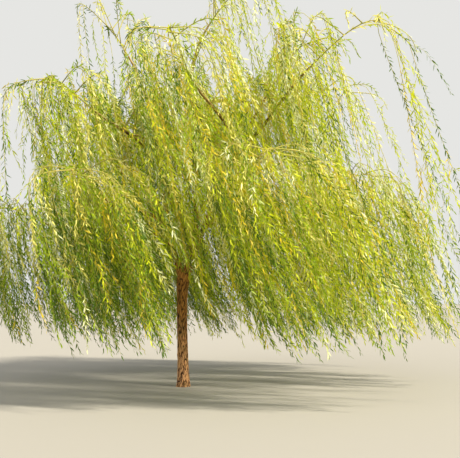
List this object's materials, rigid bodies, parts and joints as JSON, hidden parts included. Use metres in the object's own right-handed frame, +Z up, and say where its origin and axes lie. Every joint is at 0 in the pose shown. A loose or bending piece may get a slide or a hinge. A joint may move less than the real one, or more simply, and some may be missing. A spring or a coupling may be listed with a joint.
{
  "type": "weeping willow tree",
  "caption": "Young weeping willow in leaf: short clear trunk, spreading boughs, and a wide crown of long hanging shoots that lean on a breeze.",
  "frame": {"origin": "centre of the flat cut under the trunk, at ground level", "axes": "+Z up, +X downwind, which is to the right in the picture, and +Y away from the picture's camera"},
  "size_m": [8.1793, 7.401, 7.0922],
  "materials": {
    "bark": "rough fissured bark",
    "young_bark": "smooth young bark",
    "foliage": "soft satin leaf"
  },
  "bodies": {
    "root": {"trunk": "bark", "leader_middle": "young_bark", "leader_right": "young_bark", "leader_left": "young_bark", "bough_shoulder_1": "young_bark", "bough_shoulder_2": "young_bark", "bough_shoulder_3": "young_bark", "bough_shoulder_4": "young_bark", "bough_shoulder_5": "young_bark", "bough_shoulder_6": "young_bark", "bough_skirt_1": "young_bark", "bough_skirt_2": "young_bark", "bough_skirt_3": "young_bark", "bough_skirt_4": "young_bark", "bough_skirt_5": "young_bark", "bough_skirt_6": "young_bark", "foliage_top_middle": "foliage", "foliage_top_right": "foliage", "foliage_top_left": "foliage", "foliage_shoulder_1": "foliage", "foliage_shoulder_2": "foliage", "foliage_shoulder_3": "foliage", "foliage_shoulder_4": "foliage", "foliage_shoulder_5": "foliage", "foliage_shoulder_6": "foliage", "foliage_skirt_1": "foliage", "foliage_skirt_2": "foliage", "foliage_skirt_3": "foliage", "foliage_skirt_4": "foliage", "foliage_skirt_5": "foliage", "foliage_skirt_6": "foliage"}
  },
  "joints": []
}
